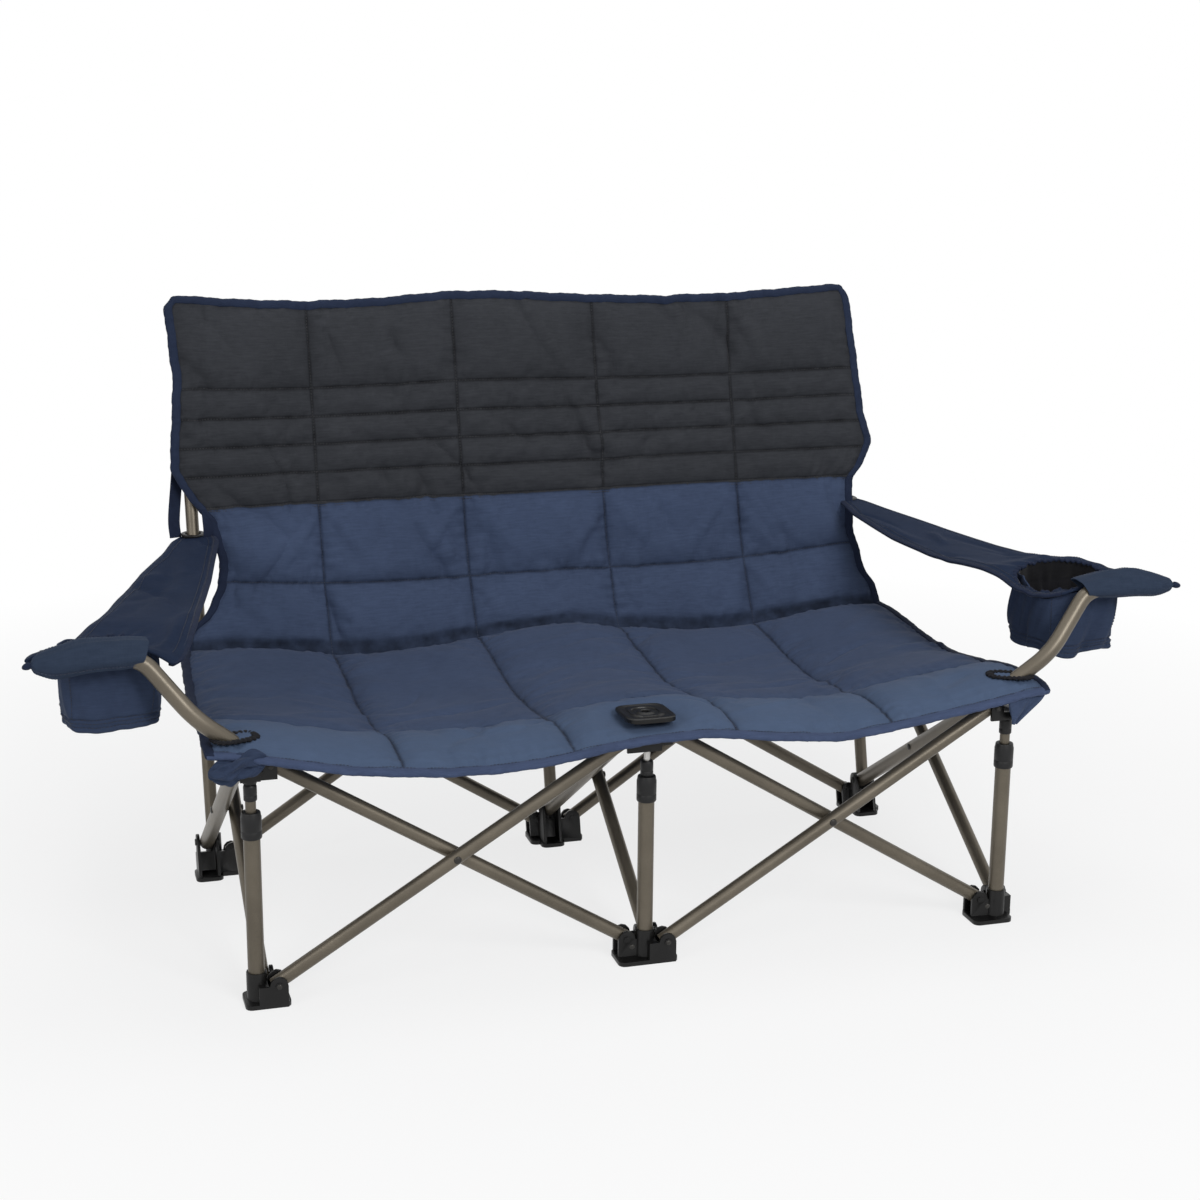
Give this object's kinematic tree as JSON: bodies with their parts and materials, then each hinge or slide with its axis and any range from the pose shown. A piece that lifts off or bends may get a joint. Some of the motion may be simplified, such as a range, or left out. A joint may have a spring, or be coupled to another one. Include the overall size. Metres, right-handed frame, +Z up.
{
  "type": "folding camping loveseat",
  "caption": "Two-seat folding camping chair: quilted sling seat and backrest on a scissor-folding steel frame with telescoping legs, cloth armrests and cup pouches.",
  "frame": {"origin": "middle of the footprint of the whole open chair, on the floor", "axes": "+Z up, the sitter faces -Y, +X towards the sitter's left, seen by someone facing the chair as right"},
  "size_m": [1.6, 0.7492, 0.8385],
  "materials": {
    "frame_steel": "satin bronze-grey powder coat",
    "bright_steel": "bright zinc plate",
    "collar_plastic": "matte dark grey",
    "black_plastic": "moulded, fine texture",
    "charcoal_cloth": "padded woven polyester",
    "navy_cloth": "padded woven polyester"
  },
  "bodies": {
    "base": {"front_foot_centre": "black_plastic", "front_post_centre": "frame_steel", "post_collar_centre": "collar_plastic", "seat_panel": "navy_cloth"},
    "foot_left": {"front_foot_left": "black_plastic", "front_post_left": "frame_steel", "post_collar_left": "collar_plastic"},
    "foot_right": {"front_foot_right": "black_plastic", "front_post_right": "frame_steel", "post_collar_right": "collar_plastic"},
    "middle_left": {"middle_tube_left": "frame_steel", "middle_collar_left": "collar_plastic"},
    "hub_left": {"front_hub_left": "black_plastic", "hub_rod_left": "bright_steel"},
    "rear_foot_left": {"rear_foot_left": "black_plastic", "back_upright_left": "frame_steel"},
    "grommet_left": {"arm_grommet_left": "black_plastic"},
    "slider_left": {"rear_slider_left": "black_plastic"},
    "side_tube_left": {"side_tube_left": "frame_steel", "side_rivet_left": "bright_steel"},
    "arm_left": {"arm_tube_left": "frame_steel", "armrest_left": "navy_cloth", "cup_pouch_left": "navy_cloth"},
    "middle_centre": {"middle_tube_centre": "frame_steel", "middle_collar_centre": "collar_plastic"},
    "hub_centre": {"front_hub_centre": "black_plastic", "hub_rod_centre": "bright_steel", "seat_plate": "black_plastic"},
    "rear_foot_centre": {"rear_foot_centre": "black_plastic", "back_upright_centre": "frame_steel", "back_panel": "charcoal_cloth"},
    "slider_centre": {"rear_slider_centre": "black_plastic"},
    "side_tube_centre": {"side_tube_centre": "frame_steel", "side_rivet_centre": "bright_steel"},
    "hub_tube": {"hub_tube_centre": "frame_steel"},
    "middle_right": {"middle_tube_right": "frame_steel", "middle_collar_right": "collar_plastic"},
    "hub_right": {"front_hub_right": "black_plastic", "hub_rod_right": "bright_steel"},
    "rear_foot_right": {"rear_foot_right": "black_plastic", "back_upright_right": "frame_steel"},
    "grommet_right": {"arm_grommet_right": "black_plastic"},
    "slider_right": {"rear_slider_right": "black_plastic"},
    "side_tube_right": {"side_tube_right": "frame_steel", "side_rivet_right": "bright_steel"},
    "arm_right": {"arm_tube_right": "frame_steel", "armrest_right": "navy_cloth", "cup_pouch_right": "navy_cloth"},
    "front_cross_left_inner": {"front_cross_left_inner": "frame_steel", "front_rivet_left": "bright_steel"},
    "front_cross_left_outer": {"front_cross_left_outer": "frame_steel"},
    "front_cross_right_inner": {"front_cross_right_inner": "frame_steel", "front_rivet_right": "bright_steel"},
    "front_cross_right_outer": {"front_cross_right_outer": "frame_steel"},
    "rear_cross_left_inner": {"rear_cross_left_inner": "frame_steel", "rear_rivet_left": "bright_steel"},
    "rear_cross_left_outer": {"rear_cross_left_outer": "frame_steel"},
    "rear_cross_right_inner": {"rear_cross_right_inner": "frame_steel", "rear_rivet_right": "bright_steel"},
    "rear_cross_right_outer": {"rear_cross_right_outer": "frame_steel"}
  },
  "joints": [
    {"name": "fold", "type": "hinge", "parent": "base", "child": "front_cross_right_inner", "pos_m": [0.026, -0.33509, 0.03], "axis": [0, -1, 0], "range_deg": [0, 52.32], "deforming": ["seat_panel", "back_panel", "armrest_left", "armrest_right"]},
    {"name": "front_right_crossing", "type": "hinge", "parent": "front_cross_right_inner", "child": "front_cross_right_outer", "pos_m": [0.265, -0.32459, 0.1775], "axis": [0, -1, 0], "range_deg": [-104.64, 0]},
    {"name": "front_right_hub_turn", "type": "hinge", "parent": "front_cross_right_inner", "child": "hub_right", "pos_m": [0.504, -0.33509, 0.325], "axis": [0, -1, 0], "range_deg": [-52.32, 0]},
    {"name": "front_centre_hub_turn", "type": "hinge", "parent": "front_cross_right_outer", "child": "hub_centre", "pos_m": [0.026, -0.31409, 0.325], "axis": [0, -1, 0], "range_deg": [0, 52.32]},
    {"name": "front_right_foot_turn", "type": "hinge", "parent": "front_cross_right_outer", "child": "foot_right", "pos_m": [0.504, -0.31409, 0.03], "axis": [0, -1, 0], "range_deg": [0, 52.32]},
    {"name": "front_left_inner_turn", "type": "hinge", "parent": "base", "child": "front_cross_left_inner", "pos_m": [-0.026, -0.31409, 0.03], "axis": [0, 1, 0], "range_deg": [0, 52.32]},
    {"name": "front_left_crossing", "type": "hinge", "parent": "front_cross_left_inner", "child": "front_cross_left_outer", "pos_m": [-0.265, -0.32459, 0.1775], "axis": [0, 1, 0], "range_deg": [-104.64, 0]},
    {"name": "front_left_hub_turn", "type": "hinge", "parent": "front_cross_left_inner", "child": "hub_left", "pos_m": [-0.504, -0.31409, 0.325], "axis": [0, 1, 0], "range_deg": [-52.32, 0]},
    {"name": "front_left_foot_turn", "type": "hinge", "parent": "front_cross_left_outer", "child": "foot_left", "pos_m": [-0.504, -0.33509, 0.03], "axis": [0, 1, 0], "range_deg": [0, 52.32]},
    {"name": "side_turn_centre", "type": "hinge", "parent": "base", "child": "side_tube_centre", "pos_m": [0.01, -0.29859, 0.026], "axis": [1, 0, 0], "range_deg": [0, 52.32]},
    {"name": "side_crossing_centre", "type": "hinge", "parent": "side_tube_centre", "child": "hub_tube", "pos_m": [0, -0.05959, 0.1735], "axis": [1, 0, 0], "range_deg": [-104.64, 0]},
    {"name": "side_turn_left", "type": "hinge", "parent": "foot_left", "child": "side_tube_left", "pos_m": [-0.52, -0.29859, 0.026], "axis": [1, 0, 0], "range_deg": [0, 52.32]},
    {"name": "side_crossing_left", "type": "hinge", "parent": "side_tube_left", "child": "arm_left", "pos_m": [-0.53, -0.05959, 0.1735], "axis": [1, 0, 0], "range_deg": [-104.64, 0]},
    {"name": "side_turn_right", "type": "hinge", "parent": "foot_right", "child": "side_tube_right", "pos_m": [0.54, -0.29859, 0.026], "axis": [1, 0, 0], "range_deg": [0, 52.32]},
    {"name": "side_crossing_right", "type": "hinge", "parent": "side_tube_right", "child": "arm_right", "pos_m": [0.53, -0.05959, 0.1735], "axis": [1, 0, 0], "range_deg": [-104.64, 0]},
    {"name": "rear_centre_foot_turn", "type": "hinge", "parent": "hub_tube", "child": "rear_foot_centre", "pos_m": [-0.0105, 0.13487, 0.05349], "axis": [1, 0, 0], "range_deg": [0, 65.86]},
    {"name": "rear_right_inner_turn", "type": "hinge", "parent": "rear_foot_centre", "child": "rear_cross_right_inner", "pos_m": [0.026, 0.14548, 0.03263], "axis": [0, -0.9681, 0.2504], "range_deg": [0, 52.32]},
    {"name": "rear_right_crossing", "type": "hinge", "parent": "rear_cross_right_inner", "child": "rear_cross_right_outer", "pos_m": [0.265, 0.19258, 0.1728], "axis": [0, -0.9681, 0.2504], "range_deg": [-104.64, 0]},
    {"name": "rear_right_hub_turn", "type": "hinge", "parent": "rear_cross_right_inner", "child": "slider_right", "pos_m": [0.504, 0.21934, 0.31823], "axis": [0, -0.9681, 0.2504], "range_deg": [-52.32, 0]},
    {"name": "rear_centre_hub_turn", "type": "hinge", "parent": "rear_cross_right_outer", "child": "slider_centre", "pos_m": [0.026, 0.23967, 0.31298], "axis": [0, -0.9681, 0.2504], "range_deg": [0, 52.32]},
    {"name": "rear_right_foot_turn", "type": "hinge", "parent": "rear_cross_right_outer", "child": "rear_foot_right", "pos_m": [0.504, 0.16581, 0.02737], "axis": [0, -0.9681, 0.2504], "range_deg": [0, 52.32]},
    {"name": "rear_left_inner_turn", "type": "hinge", "parent": "rear_foot_centre", "child": "rear_cross_left_inner", "pos_m": [-0.026, 0.16581, 0.02737], "axis": [0, 0.9681, -0.2504], "range_deg": [0, 52.32]},
    {"name": "rear_left_crossing", "type": "hinge", "parent": "rear_cross_left_inner", "child": "rear_cross_left_outer", "pos_m": [-0.265, 0.19258, 0.1728], "axis": [0, 0.9681, -0.2504], "range_deg": [-104.64, 0]},
    {"name": "rear_left_hub_turn", "type": "hinge", "parent": "rear_cross_left_inner", "child": "slider_left", "pos_m": [-0.504, 0.23967, 0.31298], "axis": [0, 0.9681, -0.2504], "range_deg": [-52.32, 0]},
    {"name": "rear_left_foot_turn", "type": "hinge", "parent": "rear_cross_left_outer", "child": "rear_foot_left", "pos_m": [-0.504, 0.14548, 0.03263], "axis": [0, 0.9681, -0.2504], "range_deg": [0, 52.32]},
    {"name": "middle_slide_left", "type": "slide", "parent": "foot_left", "child": "middle_left", "axis": [0, 0, 1], "range_m": [0, 0.13191]},
    {"name": "middle_slide_centre", "type": "slide", "parent": "base", "child": "middle_centre", "axis": [0, 0, 1], "range_m": [0, 0.13191]},
    {"name": "middle_slide_right", "type": "slide", "parent": "foot_right", "child": "middle_right", "axis": [0, 0, 1], "range_m": [0, 0.13191]},
    {"name": "grommet_slide_left", "type": "slide", "parent": "rear_foot_left", "child": "grommet_left", "axis": [0, 0.2504, 0.9681], "range_m": [0, 0.1371]},
    {"name": "grommet_slide_right", "type": "slide", "parent": "rear_foot_right", "child": "grommet_right", "axis": [0, 0.2504, 0.9681], "range_m": [0, 0.1371]}
  ],
  "couplings": [
    {"joint": "front_right_crossing", "follows": "fold", "ratio": -2},
    {"joint": "front_right_hub_turn", "follows": "fold", "ratio": -1},
    {"joint": "front_centre_hub_turn", "follows": "fold", "ratio": 1},
    {"joint": "front_right_foot_turn", "follows": "fold", "ratio": 1},
    {"joint": "front_left_inner_turn", "follows": "fold", "ratio": 1},
    {"joint": "front_left_crossing", "follows": "fold", "ratio": -2},
    {"joint": "front_left_hub_turn", "follows": "fold", "ratio": -1},
    {"joint": "front_left_foot_turn", "follows": "fold", "ratio": 1},
    {"joint": "side_turn_centre", "follows": "fold", "ratio": 1},
    {"joint": "side_crossing_centre", "follows": "fold", "ratio": -2},
    {"joint": "side_turn_left", "follows": "fold", "ratio": 1},
    {"joint": "side_crossing_left", "follows": "fold", "ratio": -2},
    {"joint": "side_turn_right", "follows": "fold", "ratio": 1},
    {"joint": "side_crossing_right", "follows": "fold", "ratio": -2},
    {"joint": "rear_centre_foot_turn", "follows": "fold", "ratio": 1.2588},
    {"joint": "rear_right_inner_turn", "follows": "fold", "ratio": 1},
    {"joint": "rear_right_crossing", "follows": "fold", "ratio": -2},
    {"joint": "rear_right_hub_turn", "follows": "fold", "ratio": -1},
    {"joint": "rear_centre_hub_turn", "follows": "fold", "ratio": 1},
    {"joint": "rear_right_foot_turn", "follows": "fold", "ratio": 1},
    {"joint": "rear_left_inner_turn", "follows": "fold", "ratio": 1},
    {"joint": "rear_left_crossing", "follows": "fold", "ratio": -2},
    {"joint": "rear_left_hub_turn", "follows": "fold", "ratio": -1},
    {"joint": "rear_left_foot_turn", "follows": "fold", "ratio": 1},
    {"joint": "middle_slide_left", "follows": "fold", "m_per_rad": 0.14435},
    {"joint": "middle_slide_centre", "follows": "fold", "m_per_rad": 0.14435},
    {"joint": "middle_slide_right", "follows": "fold", "m_per_rad": 0.14435},
    {"joint": "grommet_slide_left", "follows": "fold", "m_per_rad": 0.15003},
    {"joint": "grommet_slide_right", "follows": "fold", "m_per_rad": 0.15003}
  ]
}
